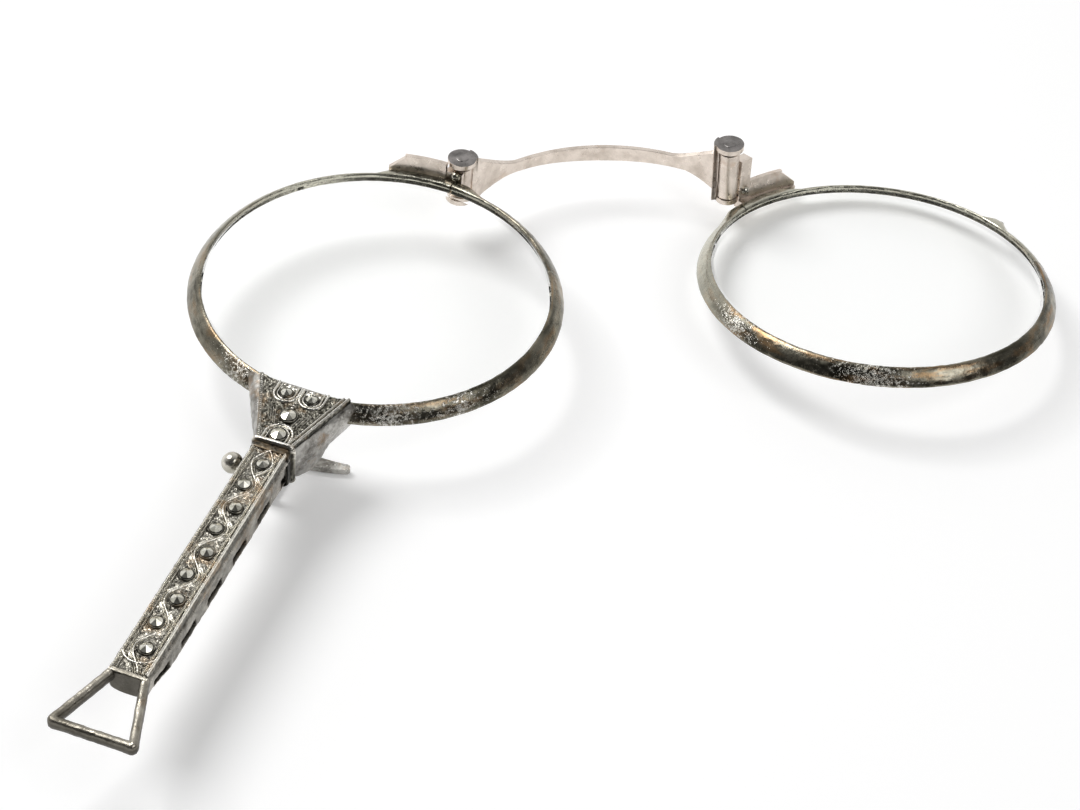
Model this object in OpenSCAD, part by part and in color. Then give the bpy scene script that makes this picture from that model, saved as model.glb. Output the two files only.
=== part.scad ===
// Folding lorgnette with two round lenses, an arched bridge and a stone-set handle.
// Everything is drawn from the centre of the left lens, with +X to the right lens, +Y to the bridge
// and +Z out of the left lens, and then moved so that the origin is under the middle of the footprint.

/* [Lenses and rims] */
// Radius of the rim wire's centre line
rim_r = 21; // [20.9:0.05:21.1]
// Radial width of the rim wire
rim_w = 1.66; // [1.5:0.02:1.7]
// Height of the rim wire
rim_h = 1.94; // [1.8:0.02:2]
// Depth of the groove that holds the lens
groove_depth = 0.42; // [0.3:0.02:0.5]
// Width of the groove at its mouth
groove_w = 0.9; // [0.6:0.05:1.1]
// Thickness of a lens at its middle
lens_t = 1.7; // [1.4:0.1:1.8]
// Width of the slit that lets a rim open for its lens
slit_w = 0.2; // [0.1:0.05:0.3]

/* [Right lens, unfolded] */
// Distance between the two lens centres
lens_spacing = 61.3; // [61.2:0.05:61.4]
// How far the right lens centre lies below the left one
lens_drop = 3.6; // [3.5:0.05:3.7]
// Angle at which the right lens leans toward the bridge side
lens_tilt = 8; // [7.8:0.1:8.2]

/* [Hinges] */
// Left hinge axis, from the left lens centre
left_hinge = [13.1, 19.4];
// Right hinge axis, from the left lens centre, at the height of hinge_mid_z
right_hinge = [47.1, 19];
// Height at which the right hinge axis passes through right_hinge
hinge_mid_z = -1.5; // [-1.6:0.05:-1.4]
// Sideways lean of the right hinge axis per unit of height, along X and Y
hinge_lean = [-0.07, 0.035];
// Radius of a hinge pin
pin_r = 0.55; // [0.5:0.05:0.6]
// Running clearance around a pin
pin_gap = 0.06; // [0.02:0.01:0.1]
// Outer radius of a knuckle
knuckle_r = 1.3; // [1.25:0.05:1.35]
// Top of both forks
fork_top = 3.2; // [3:0.1:3.4]
// Bottom of the left and of the right fork
fork_bottom = [-3.3, -5.3];
// Thickness of a fork's lugs
lug_t = 0.65; // [0.5:0.05:0.7]
// Radius of a fork's upper lug
lug_r = 1.75; // [1.6:0.05:1.8]
// Radius of the lower lug of the left and of the right fork
lower_lug_r = [1.75, 1.45];
// Top of both knuckles
knuckle_top = 2; // [1.8:0.1:2.2]

/* [Closing blocks and wings] */
// Arc of a wing along its rim, in degrees
wing_sweep = 19; // [14:1:22]
// Thickness of a wing
wing_t = 0.6; // [0.5:0.05:0.7]
// Height of a wing over the rim's middle plane
wing_top = 3.1; // [2.6:0.1:3.2]
// Radius of a closing screw's head
screw_head_r = 0.62; // [0.5:0.02:0.7]

/* [Bridge] */
// Radius of the bridge strap's curve, just wider than a rim
strap_r = 22.95; // [22.9:0.05:23.05]
// Thickness of the strap
strap_t = 0.6; // [0.5:0.05:0.7]
// Height of the strap's upper edge at its left and right end, without the flares
strap_top = [-1.35, -1];
// Height of the strap's lower edge near its ends, without the flares
strap_low = -2.75; // [-3:0.05:-2.5]
// How far the lower edge hangs below that in the middle
strap_sag = 0.45; // [0.3:0.05:0.6]
// Reach and rise of the flare above the strap at its left and right end
flare_up = [[6.6, 4.3], [5, 2.9]];
// Reach and drop of the flare below the strap at its left and right end
flare_down = [[6, 1.3], [3.6, 1.6]];

/* [Handle] */
// Direction of the handle, seen from above
handle_angle = -120.2; // [-120.4:0.1:-120]
// Sideways offset of the handle from the left lens's centre
handle_shift = 0.25; // [0:0.05:0.5]
// Width of the handle case
case_w = 4.1; // [4:0.1:4.4]
// Where the handle case starts and ends, from the left lens centre
case_span = [29.6, 64.2];
// Top of the ornamental plates
plate_top = 2.1; // [2:0.1:2.3]
// Thickness of the ornamental plates
plate_t = 0.6; // [0.5:0.1:0.7]
// Underside of the handle case
case_bottom = -2.6; // [-2.8:0.1:-2.5]
// Thickness of the case's side walls
wall = 0.55; // [0.45:0.05:0.6]
// Thickness of the case's floor
floor_t = 0.4; // [0.35:0.05:0.42]
// Length of a slot in the side walls
slot_l = 3.6; // [3:0.1:4]
// Height of a slot
slot_h = 0.6; // [0.5:0.05:0.7]
// Distance from slot to slot
slot_pitch = 6.12; // [6:0.02:6.2]
// Width and rise of the border rails on the handle plate
border = [0.4, 0.22];
// Where the collar ends, from the left lens centre
collar_end = 31; // [30.8:0.1:31.2]

/* [Head] */
// Width of the head plate at the lens and at the collar
head_w = [10.3, 4.2];
// Sideways drift of the head's middle line for each millimetre toward the lens
head_skew = 0.05; // [0:0.01:0.06]
// How far the head's sides bulge past the plate, at the lens and at the collar
head_bulge = [0.9, 0.2];
// Where the head plate starts, from the left lens centre
head_start = 20.9; // [20.8:0.05:21]
// Underside of the head from the rim back to the collar, as distances along the handle and heights
head_keel = [[20.1, -2.05], [23.4, -2.3], [25, -2.75], [27.4, -3.3], [29.59, -2.7]];

/* [Catch] */
// Radius of the pin on which the catch rocks
catch_pin_r = 0.36; // [0.3:0.02:0.38]
// Radius of the lever's hub
hub_r = 0.85; // [0.8:0.05:0.9]
// Height of the catch pin
catch_z = -0.6; // [-0.7:0.05:-0.5]
// Radius of the ball knob
ball_r = 1.2; // [1:0.05:1.3]
// Distance of the knob's centre from the catch pin
knob_reach = 3.9; // [3.8:0.1:4.2]
// Distance of the knob from the left lens centre
knob_place = 31.9; // [31.8:0.05:32]
// Top of the tongue, just under the folded rim
tongue_top = -8.1; // [-8.2:0.05:-8.1]
// Thickness of the tongue
tongue_t = 0.7; // [0.6:0.05:0.8]
// Width of the tongue at its root and at its tip
tongue_w = [2.2, 0.9];
// Where the tongue starts and ends, as angles about the left lens centre
tongue_span = [-122.4, -106.5];

/* [Ribbon loop] */
// Distance from the left lens centre to the loop's outer end
loop_end = 72.6; // [71:0.1:74]
// Outer width of the loop at its root and at its end
loop_w = [4.2, 9.6];
// Width of the loop's bars
bar_w = 1.1; // [1:0.05:1.3]
// Middle height of the loop
loop_z = 1.2; // [1:0.1:1.3]

/* [Stones] */
// Radius of the small head stones, the handle stones and the large head stones
stone_r = [0.68, 0.75, 0.93];
// Height of a stone's point over its girdle
stone_rise = 0.45; // [0.3:0.05:0.6]
// Number of facets on a stone
stone_facets = 6; // [6:1:8]
// Distance from the left lens centre to the first handle stone
first_stone = 33.3; // [33.2:0.1:33.6]
// Distance from stone to stone along the handle
stone_pitch = 3.47; // [3.44:0.01:3.5]
// How far the handle stones lie right and left of the line in turn
stone_shift = 0.3; // [0:0.05:0.35]
// Number of stones along the handle
handle_stones = 9; // [5:1:9]
// Wall of a stone's setting, and its rise over the plate
setting = [0.18, 0.28];

/* [Hidden] */
EDGE = 144;
ROUND = 48;
SMALL = 32;
rim_edge_r = rim_r + rim_w / 2;
lens_seat_r = rim_r - rim_w / 2 + groove_depth;
left_hinge_angle = atan2(left_hinge[1], left_hinge[0]);
right_hinge_angle = atan2(right_hinge[1], right_hinge[0] - lens_spacing);
bore_r = pin_r + pin_gap;
knuckle_gap = 0.1;
fork_wall = [knuckle_r + 0.12, knuckle_r + 0.7];
fork_turn = [22, 152];
fork_spread = 56;
spring_r = 0.84;
spring_wire_r = 0.11;
spring_pitch = 0.64;
spring_room_r = 1.04;
screw_turn = 4.6;
left_part_r = rim_edge_r - 0.12;
right_part_r = rim_edge_r + 0.28;
column_h = 7.4;
case_top = plate_top - plate_t;
slots = 6;
first_slot = 30.7;
slot_z = case_bottom + floor_t + 0.35;
head_end = case_span[0];
web_start = 27;
web_t = 0.5;
hub_end = 33;
arm = [27.65, 28.6];
pin_reach = [web_start, hub_end + 0.1 + web_t];
tongue_mid_r = 21.3;
tongue_root_s = [-1.9, -0.8];
seat_depth = 0.3;
// Head stones: distance along the handle, place off the middle line and size
head_stone_places = [[22.2, -1.5, 0], [22.2, 1.5, 0], [25.45, 0, 2], [28.5, 0, 2]];

// Middle of the footprint and the lowest point, from the left lens centre
base_z = tongue_top - tongue_t;
arch_mid = [30.1, 2.75];
loop_start = case_span[1] + 0.55;
loop_slope = (loop_w[1] - loop_w[0]) / 2 / (loop_end - loop_start);
loop_corner = 0.5;
footprint_x = [(loop_end - loop_corner) * cos(handle_angle)
                   - (handle_shift - loop_w[1] / 2 + loop_slope * loop_corner) * sin(handle_angle),
               lens_spacing + rim_edge_r];
footprint_y = [loop_end * sin(handle_angle) + (handle_shift + loop_w[1] / 2 - loop_corner) * cos(handle_angle),
               arch_mid[1] + strap_r + strap_t / 2];

module placed()
    translate([-(footprint_x[0] + footprint_x[1]) / 2, -(footprint_y[0] + footprint_y[1]) / 2, -base_z])
        children();

module right_side()
    translate([lens_spacing, 0, -lens_drop]) rotate([-lens_tilt, 0, 0]) children();

module at_left_hinge() translate([left_hinge[0], left_hinge[1], 0]) children();

module at_right_hinge()
    translate([right_hinge[0], right_hinge[1], hinge_mid_z])
        rotate([-atan(hinge_lean[1]), atan(hinge_lean[0]), 0])
            translate([0, 0, -hinge_mid_z]) children();

// X along the handle, Y across it
module on_handle() rotate([0, 0, handle_angle]) translate([0, handle_shift, 0]) children();

// A block on the handle, given by its reach along it, across it and in height
module bar(along, across, heights)
    translate([along[0], across[0], heights[0]])
        cube([along[1] - along[0], across[1] - across[0], heights[1] - heights[0]]);

// Rims and lenses

module rim_section() {
    for (side = [-1, 1]) translate([0, side * (rim_h - rim_w) / 2]) circle(d = rim_w, $fn = 40);
    square([rim_w, rim_h - rim_w], center = true);
}

module groove_section() {
    slope = groove_w / 2 / groove_depth;
    polygon([[-rim_w / 2 - 1, slope * (groove_depth + 1)], [-rim_w / 2 + groove_depth, 0],
             [-rim_w / 2 - 1, -slope * (groove_depth + 1)]]);
}

module rim_envelope() rotate_extrude($fn = EDGE) translate([rim_r, 0]) rim_section();

module rim(split_angle) difference() {
    rotate_extrude($fn = EDGE) translate([rim_r, 0]) difference() {
        rim_section();
        groove_section();
    }
    rotate([0, 0, split_angle]) translate([rim_r, 0, 0]) cube([rim_w + 1, slit_w, rim_h + 1], center = true);
}

// A shallow lens whose bevelled edge seats in the groove
module lens() {
    bevel_r = rim_r - rim_w / 2 - 0.3;
    slope = groove_w / 2 / groove_depth;
    bevel_h = slope * (lens_seat_r - bevel_r);
    steps = 10;
    edge_h = min(bevel_h, lens_t / 2 - 0.1);
    face = function (r) edge_h + (lens_t / 2 - edge_h) * (1 - pow(r / bevel_r, 2));
    front = [for (i = [0:steps]) let (r = bevel_r * i / steps) [r, face(r)]];
    back = [for (i = [steps:-1:0]) let (r = bevel_r * i / steps) [r, -face(r)]];
    rotate_extrude($fn = EDGE) polygon(concat(front, [[lens_seat_r, 0]], back));
}

module left_rim() color("darkgray") placed() rim(left_hinge_angle);

module left_lens() color("aliceblue") placed() lens();

module right_rim() color("darkgray") placed() right_side() rim(right_hinge_angle - screw_turn);

module right_lens() color("aliceblue") placed() right_side() lens();

// Closing blocks, wings and screws

// A thin wing that stands along the rim's outer edge and ends in a slant; turn is 1 when it runs
// anticlockwise and -1 when it runs clockwise
module wing(start, turn, inner_r, low) {
    from = turn > 0 ? start : start - wing_sweep;
    difference() {
        rotate([0, 0, from]) rotate_extrude(angle = wing_sweep, $fn = EDGE)
            translate([inner_r, low]) square([wing_t, wing_top - low]);
        rotate([0, 0, start + turn * wing_sweep]) translate([inner_r, 0, wing_top])
            rotate([turn * 50, 0, 0]) cube([4, 3, 3], center = true);
        rim_envelope();
    }
}

module screw_shank(angle, height, seat_r)
    rotate([0, 0, angle]) translate([seat_r, 0, height]) rotate([0, 90, 0])
        cylinder(r = 0.3, h = 0.5, $fn = SMALL);

module rim_screw(angle, height, seat_r) {
    rotate([0, 0, angle]) translate([seat_r, 0, height]) difference() {
        sphere(r = screw_head_r, $fn = SMALL);
        translate([0, -1, -1]) cube([2, 2, 2]);
        translate([-1.05, -1, -0.09]) cube([0.65, 2, 0.18]);
    }
    screw_shank(angle, height, seat_r);
}

module knuckle(bottom) difference() {
    translate([0, 0, bottom + lug_t + knuckle_gap])
        cylinder(r = knuckle_r, h = knuckle_top - bottom - lug_t - knuckle_gap, $fn = ROUND);
    knuckle_bore();
}

// The pin's bore, wider in the middle where the spring sits
module knuckle_bore() {
    translate([0, 0, -8]) cylinder(r = bore_r, h = 14, $fn = ROUND);
    translate([0, 0, knuckle_top - 3.2]) cylinder(r = spring_room_r, h = 6, $fn = ROUND);
}

module left_bracket() color("tan") placed() difference() {
    union() {
        at_left_hinge() knuckle(fork_bottom[0]);
        rotate([0, 0, left_hinge_angle]) translate([left_part_r, -0.8, -0.9])
            cube([1.35, 2.15, 0.8 + knuckle_top]);
        wing(left_hinge_angle + 3.2, 1, rim_r + 0.38, 0.3);
    }
    at_left_hinge() knuckle_bore();
    rim_envelope();
    screw_shank(left_hinge_angle, 1.5, left_part_r);
}

module left_rim_screw() color("silver") placed()
    rim_screw(left_hinge_angle, 1.5, left_part_r);

// On the right a tall column carries the knuckle, because the hinge lies well above that rim
module right_bracket() color("tan") placed() difference() {
    union() {
        at_right_hinge() knuckle(fork_bottom[1]);
        right_side() {
            rotate([0, 0, right_hinge_angle - screw_turn]) translate([right_part_r, -0.85, -0.9])
                cube([1.5, 1.9, column_h]);
            rotate([0, 0, right_hinge_angle - screw_turn]) translate([rim_r + 0.3, -1.1, -0.9])
                cube([2.31, 2.15, 1.85]);
            wing(right_hinge_angle - screw_turn - 2, -1, right_part_r, -0.5);
            rotate([0, 0, right_hinge_angle - screw_turn - 2 - wing_sweep])
                rotate_extrude(angle = wing_sweep, $fn = EDGE)
                    translate([rim_r + 0.4, -0.5]) square([right_part_r - rim_r, 1.2]);
        }
    }
    at_right_hinge() {
        knuckle_bore();
        translate([0, 0, knuckle_top]) cylinder(r = 4, h = 4, $fn = ROUND);
        translate([0, 0, fork_bottom[1] - 3])
            cylinder(r = lower_lug_r[1] + 0.1, h = 3 + lug_t + knuckle_gap, $fn = ROUND);
    }
    right_side() {
        rim_envelope();
        screw_shank(right_hinge_angle - screw_turn, 2.1, right_part_r);
    }
}

module right_rim_screw() color("silver") placed() right_side()
    rim_screw(right_hinge_angle - screw_turn, 2.1, right_part_r);

// A small lug near the outermost point of the right rim, covered by the head when the lenses are folded
module catch_lug() color("darkgray") placed() right_side() difference() {
    rotate([0, 0, 27]) translate([rim_edge_r, 0, 0]) rotate([0, 90, 0])
        cylinder(r = 0.45, h = 0.7, center = true, $fn = SMALL);
    rim_envelope();
}

// Bridge

function flare(shape, away) = shape[1] * pow(max(0, 1 - away / shape[0]), 1.4);

module bridge_strap() color("wheat") placed() {
    ends = [left_hinge[0] + 1.2, right_hinge[0] - 1.2];
    sag_mid = 32;
    sag_reach = 16;
    upper = function (x) strap_top[0] + (strap_top[1] - strap_top[0]) * (x - ends[0]) / (ends[1] - ends[0])
        + flare(flare_up[0], x - ends[0]) + flare(flare_up[1], ends[1] - x);
    lower = function (x) strap_low - strap_sag * pow(cos(90 * (x - sag_mid) / sag_reach), 4)
        - flare(flare_down[0], x - ends[0]) - flare(flare_down[1], ends[1] - x);
    steps = 44;
    places = [for (i = [0:steps]) ends[0] + i / steps * (ends[1] - ends[0])];
    difference() {
        intersection() {
            translate([arch_mid[0], arch_mid[1], -10]) difference() {
                cylinder(r = strap_r + strap_t / 2, h = 20, $fn = EDGE);
                translate([0, 0, -1]) cylinder(r = strap_r - strap_t / 2, h = 22, $fn = EDGE);
            }
            translate([0, 40, 0]) rotate([90, 0, 0]) linear_extrude(40)
                polygon(concat([for (x = places) [x, upper(x)]],
                               [for (i = [steps:-1:0]) [places[i], lower(places[i])]]));
        }
        at_left_hinge() translate([0, 0, -10]) cylinder(r = fork_wall[1], h = 20, $fn = ROUND);
        at_right_hinge() translate([0, 0, -10]) cylinder(r = fork_wall[1], h = 20, $fn = ROUND);
    }
}

// A fork: two lugs and the curved wall that joins them, open toward the knuckle's block
module fork(bottom, direction, lower_r) {
    levels = [[fork_top - lug_t, lug_r], [bottom, lower_r]];
    difference() {
        union() {
            for (level = levels) translate([0, 0, level[0]]) cylinder(r = level[1], h = lug_t, $fn = ROUND);
            rotate([0, 0, direction - fork_spread / 2]) rotate_extrude(angle = fork_spread, $fn = 72)
                translate([fork_wall[0], bottom]) square([fork_wall[1] - fork_wall[0], fork_top - bottom]);
        }
        translate([0, 0, -10]) cylinder(r = pin_r, h = 20, $fn = ROUND);
    }
}

module left_fork() color("wheat") placed() at_left_hinge()
    fork(fork_bottom[0], fork_turn[0], lower_lug_r[0]);

module right_fork() color("wheat") placed() at_right_hinge()
    fork(fork_bottom[1], fork_turn[1], lower_lug_r[1]);

module hinge_pin(bottom) translate([0, 0, bottom]) cylinder(r = pin_r, h = fork_top - bottom, $fn = ROUND);

module left_hinge_pin() color("sienna") placed() at_left_hinge() hinge_pin(fork_bottom[0]);

module right_hinge_pin() color("sienna") placed() at_right_hinge() hinge_pin(fork_bottom[1]);

// Points along a coil's middle line
function coil_line(radius, pitch, turns) = [for (i = [0:8 * turns]) let (a = 45 * i)
    [radius * cos(a), radius * sin(a), pitch * i / 8]];

// Least gap between neighbouring turns, measured between points half a turn or more apart
function coil_gap(line, wire_r) =
    min([for (i = [0:len(line) - 1]) for (j = [i + 4:1:len(line) - 1]) norm(line[i] - line[j])]) - 2 * wire_r;

// A coil of round wire with six-sided rings
module coil(radius, wire_r, pitch, turns) {
    line = coil_line(radius, pitch, turns);
    sides = 6;
    last = len(line) - 1;
    points = [for (i = [0:last]) for (k = [0:sides - 1]) let (a = 45 * i, b = 360 * k / sides)
        line[i] + wire_r * [cos(b) * cos(a), cos(b) * sin(a), sin(b)]];
    walls = [for (i = [0:last - 1]) for (k = [0:sides - 1]) let (n = (k + 1) % sides, m = i * sides)
        each [[m + k, m + n, m + sides + n], [m + k, m + sides + n, m + sides + k]]];
    caps = [for (k = [1:sides - 2]) each [[0, k + 1, k], last * sides * [1, 1, 1] + [0, k, k + 1]]];
    echo(gap = coil_gap(line, wire_r));
    polyhedron(points, concat(walls, caps));
}

module hinge_spring() translate([0, 0, knuckle_top - 3])
    coil(spring_r, spring_wire_r, spring_pitch, 4);

module left_hinge_spring() color("dimgray") placed() at_left_hinge() hinge_spring();

module right_hinge_spring() color("dimgray") placed() at_right_hinge() hinge_spring();

// Head

// Half width and middle line of the head plate at a distance along the handle
function head_part(r) = (head_end - r) / (head_end - head_start);
function head_half(r) = (head_w[1] + (head_w[0] - head_w[1]) * head_part(r)) / 2;
function head_mid(r) = -head_skew * (head_end - r);
function head_swell(r) = head_bulge[1] + (head_bulge[0] - head_bulge[1]) * head_part(r);

module lens_side_cut() translate([0, -handle_shift, 0]) cylinder(r = head_start, h = 20, center = true, $fn = EDGE);

// Cross-section of the head's case at one place, as a thin sheet
module head_slice(r, bottom) {
    half = head_half(r);
    swell = head_swell(r);
    mid = head_mid(r);
    outline = [[half, case_top], [half + 0.75 * swell, 0.8], [half + swell, -0.3],
               [half + 0.7 * swell, bottom / 2 - 0.7], [half + 0.1, bottom]];
    translate([r, mid, 0]) rotate([90, 0, 90]) linear_extrude(0.01)
        polygon(concat(outline, [for (i = [len(outline) - 1:-1:0]) [-outline[i][0], outline[i][1]]]));
}

module head_case() color("gray") placed() on_handle() difference() {
    for (i = [0:len(head_keel) - 2]) hull() {
        head_slice(head_keel[i][0], head_keel[i][1]);
        head_slice(head_keel[i + 1][0], head_keel[i + 1][1]);
    }
    lens_side_cut();
    translate([0, -handle_shift, 0]) rim_envelope();
    bar([web_start + web_t, head_end + 1], [-1.5, 1.5], [-2.2, case_top + 1]);
    bar([web_start + web_t, arm[1] + 0.2], [-2, 1.2], [-5, 0]);
    translate([web_start, 0, catch_z]) rotate([0, 90, 0]) cylinder(r = catch_pin_r, h = 2, $fn = ROUND);
}

module head_plate() color("silver") placed() on_handle() difference() {
    tail = head_half(head_end);
    front = head_start - 0.9;
    translate([0, 0, case_top]) linear_extrude(plate_t)
        polygon([[front, head_mid(front) - head_half(front)], [head_end, -tail],
                 [head_end, tail], [front, head_mid(front) + head_half(front)]]);
    lens_side_cut();
    for (p = head_stone_places) stone_place(p) stone_seat(p[2]);
}

// Handle

module collar() color("silver") placed() on_handle() difference() {
    bar([head_end, collar_end], [-case_w / 2 - 0.35, case_w / 2 + 0.35], [case_bottom - 0.3, plate_top + 0.3]);
    bar([head_end - 1, collar_end + 1], [-case_w / 2, case_w / 2], [case_bottom, case_top]);
    for (side = [-1, 1]) for (level = [case_bottom - 0.3, plate_top + 0.3])
        translate([head_end - 1, side * (case_w / 2 + 0.35), level]) rotate([45, 0, 0])
            cube([3, 0.4, 0.4], center = false);
}

// A lengthwise slot with round ends through one side wall
module side_slot(place, side) {
    reach = max(place - slot_l / 2, collar_end + 0.3);
    ends = [reach + slot_h / 2, place + slot_l / 2 - slot_h / 2];
    translate([0, side * case_w / 2, slot_z]) {
        translate([ends[0], -1, -slot_h / 2]) cube([ends[1] - ends[0], 2, slot_h]);
        for (end = ends) translate([end, 0, 0]) rotate([90, 0, 0])
            cylinder(d = slot_h, h = 2, center = true, $fn = SMALL);
    }
}

module handle_case() color("gray") placed() on_handle() difference() {
    bar(case_span, [-case_w / 2, case_w / 2], [case_bottom, case_top]);
    inner = [wall - case_w / 2, case_w / 2 - wall];
    bar([case_span[0] - 1, hub_end + 0.1], inner, [case_bottom + floor_t, case_top + 1]);
    bar([hub_end + 0.1 + web_t, case_span[1] - 0.5], inner, [case_bottom + floor_t, case_top + 1]);
    translate([hub_end, 0, catch_z]) rotate([0, 90, 0]) cylinder(r = catch_pin_r, h = 1, $fn = ROUND);
    for (i = [0:slots - 1]) side_slot(first_slot + slot_pitch * i, 1);
    for (i = [1:slots - 1]) side_slot(first_slot + slot_pitch * i, -1);
    bar([knob_place - 0.5, knob_place + 0.5], [-case_w, 0], [catch_z - 0.37, catch_z + 0.85]);
}

module handle_plate() color("silver") placed() on_handle() difference() {
    bar([collar_end, case_span[1]], [-case_w / 2, case_w / 2], [case_top, plate_top]);
    for (i = [1:handle_stones]) handle_stone_place(i) stone_seat(1);
}

module handle_border() color("silver") placed() on_handle()
    for (side = [-1, 1]) translate([0, side * (case_w - border[0]) / 2, plate_top])
        bar([collar_end, case_span[1]], [-border[0] / 2, border[0] / 2], [0, border[1]]);

module end_wall() color("silver") placed() on_handle()
    bar([case_span[1], case_span[1] + 0.55], [-case_w / 2 - 0.12, case_w / 2 + 0.12],
        [case_bottom - 0.1, plate_top + border[1]]);

// Outline of the loop, inset by a distance from its outer edge
module loop_outline(inset) {
    side_inset = inset * sqrt(1 + loop_slope * loop_slope);
    near = loop_w[0] / 2 - side_inset + loop_slope * inset;
    far = loop_w[1] / 2 - side_inset - loop_slope * inset;
    corner = inset > 0 ? 0.3 : loop_corner;
    polygon([[loop_start + inset, -near], [loop_start + inset, near],
             [loop_end - inset - corner, far - loop_slope * corner],
             [loop_end - inset, far - corner], [loop_end - inset, corner - far],
             [loop_end - inset - corner, loop_slope * corner - far]]);
}

module ribbon_loop() color("silver") placed() on_handle() {
    translate([0, 0, loop_z - bar_w / 2]) linear_extrude(bar_w) difference() {
        loop_outline(0);
        loop_outline(bar_w);
    }
    bar([loop_end - 0.85, loop_end - 0.1], [0.7 - loop_w[1] / 2, loop_w[1] / 2 - 0.7],
        [loop_z - bar_w / 2 - 0.25, loop_z - bar_w / 2]);
}

// Catch

module catch_pin() color("sienna") placed() on_handle() translate([pin_reach[0], 0, catch_z])
    rotate([0, 90, 0]) cylinder(r = catch_pin_r, h = pin_reach[1] - pin_reach[0], $fn = ROUND);

// The tongue tapers along the folded rim that it holds
module tongue() {
    steps = 12;
    at = function (t, side) let (a = tongue_span[0] + t * (tongue_span[1] - tongue_span[0]),
        r = tongue_mid_r + side * (tongue_w[0] + t * (tongue_w[1] - tongue_w[0])) / 2) [r * cos(a), r * sin(a)];
    translate([0, 0, base_z]) {
        linear_extrude(tongue_t)
            polygon(concat([for (i = [0:steps]) at(i / steps, -1)], [for (i = [steps:-1:0]) at(i / steps, 1)]));
        rotate([0, 0, tongue_span[1]]) translate([tongue_mid_r, 0, 0])
            cylinder(d = tongue_w[1], h = tongue_t, $fn = SMALL);
    }
}

module catch_lever() color("lightgray") placed() {
    tongue();
    on_handle() difference() {
        union() {
            translate([arm[0], 0, catch_z]) rotate([0, 90, 0])
                cylinder(r = hub_r, h = hub_end - arm[0], $fn = ROUND);
            translate([arm[0], 0, 0]) rotate([90, 0, 90]) linear_extrude(arm[1] - arm[0])
                polygon([[0.75, catch_z], [-0.75, catch_z], [-1.5, -3.2], [tongue_root_s[0], tongue_top + 0.5],
                         [tongue_root_s[0], base_z], [tongue_root_s[1], base_z], [-0.4, -3.2]]);
            bar([tongue_mid_r, arm[1]], tongue_root_s, [base_z, tongue_top - 0.2]);
        }
        translate([arm[0] - 1, 0, catch_z]) rotate([0, 90, 0])
            cylinder(r = catch_pin_r + pin_gap, h = hub_end, $fn = ROUND);
        catch_stem();
    }
}

module catch_stem() translate([knob_place, -knob_reach, catch_z]) rotate([-90, 0, 0])
    cylinder(r = 0.3, h = knob_reach - catch_pin_r - pin_gap - 0.1, $fn = SMALL);

module catch_knob() color("gainsboro") placed() on_handle() {
    translate([knob_place, -knob_reach, catch_z]) sphere(r = ball_r, $fn = ROUND);
    catch_stem();
}

module catch_spring() color("dimgray") placed() on_handle() translate([arm[1] + 0.3, 0, catch_z])
    rotate([0, 90, 0]) coil(1.1, 0.11, spring_pitch, 3);

// Stones and settings

module stone_place(p) translate([p[0], head_mid(p[0]) + p[1], plate_top]) children();

module handle_stone_place(i)
    translate([first_stone + stone_pitch * (i - 1), stone_shift * (i % 2 == 1 ? 1 : -1), plate_top]) children();

module stone_seat(size) translate([0, 0, -seat_depth]) cylinder(r = stone_r[size], h = 1, $fn = ROUND);

// A ring round a stone
module stone_setting(size) difference() {
    cylinder(r = stone_r[size] + setting[0], h = setting[1], $fn = ROUND);
    translate([0, 0, -1]) cylinder(r = stone_r[size], h = 2, $fn = ROUND);
}

// A flat-bottomed stone with slanting facets that meet in a point
module stone(size) {
    girdle = 0.15;
    translate([0, 0, -seat_depth]) cylinder(r = stone_r[size], h = seat_depth + girdle, $fn = stone_facets);
    translate([0, 0, girdle]) cylinder(r1 = stone_r[size], r2 = 0, h = stone_rise, $fn = stone_facets);
}

module head_settings() color("silver") placed() on_handle()
    for (p = head_stone_places) stone_place(p) stone_setting(p[2]);

module handle_settings() color("silver") placed() on_handle()
    for (i = [1:handle_stones]) handle_stone_place(i) stone_setting(1);

module head_stone(i) color("lightslategray") placed() on_handle()
    stone_place(head_stone_places[i - 1]) stone(head_stone_places[i - 1][2]);

module handle_stone(i) color("lightslategray") placed() on_handle() handle_stone_place(i) stone(1);

left_rim();
left_lens();
left_bracket();
left_rim_screw();
right_rim();
right_lens();
right_bracket();
right_rim_screw();
catch_lug();
bridge_strap();
left_fork();
right_fork();
left_hinge_pin();
right_hinge_pin();
left_hinge_spring();
right_hinge_spring();
head_case();
head_plate();
collar();
handle_case();
handle_plate();
handle_border();
end_wall();
ribbon_loop();
catch_pin();
catch_lever();
catch_knob();
catch_spring();
head_settings();
handle_settings();
for (i = [1:len(head_stone_places)])
    head_stone(i);
for (i = [1:handle_stones])
    handle_stone(i);
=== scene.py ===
"""Looks for a folding lorgnette of darkened silver with small faceted stones.

Sizes are millimetres measured from the left lens's centre, as in the part's source: X to the right
lens, Y to the bridge, Z out of the left lens. On the handle, r runs along it, s across it and z up.
"""

import math

import bmesh
import bpy
import numpy as np
from mathutils import Matrix, Vector


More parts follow.
